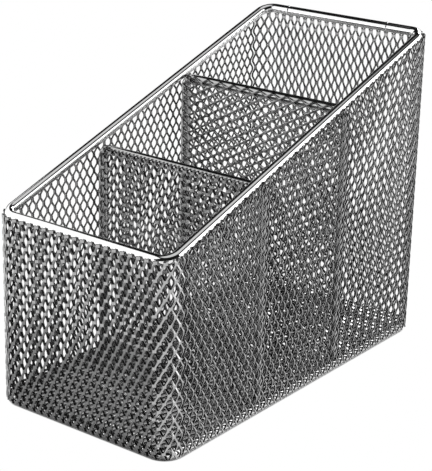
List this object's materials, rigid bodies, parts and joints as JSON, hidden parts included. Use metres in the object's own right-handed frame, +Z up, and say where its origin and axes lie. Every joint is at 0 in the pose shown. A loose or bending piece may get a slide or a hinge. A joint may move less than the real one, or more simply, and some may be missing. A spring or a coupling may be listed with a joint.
{
  "type": "wire desk organizer",
  "caption": "Open mesh desk organizer on a round bar frame, with a sloping rim that rises to the back and fixed mesh dividers between its compartments.",
  "frame": {"origin": "middle of the base, on the surface that the organizer stands on", "axes": "+Z up, +Y from the low front to the high back, +X to the right seen from the front"},
  "size_m": [0.1046, 0.2076, 0.1626],
  "materials": {
    "bar": "polished plated steel bar",
    "mesh": "dark plated expanded steel mesh with bright glints"
  },
  "bodies": {
    "root": {"rim_bar": "bar", "rim_back_bar": "bar", "rim_welds": "bar", "base_bar": "bar", "front_divider_bar": "bar", "rear_divider_bar": "bar", "front_wall_mesh": "mesh", "back_wall_mesh": "mesh", "left_wall_mesh": "mesh", "right_wall_mesh": "mesh", "floor_mesh": "mesh", "front_divider_mesh": "mesh", "rear_divider_mesh": "mesh", "front_left_corner_mesh": "mesh", "front_right_corner_mesh": "mesh", "back_left_corner_mesh": "mesh", "back_right_corner_mesh": "mesh"}
  },
  "joints": []
}
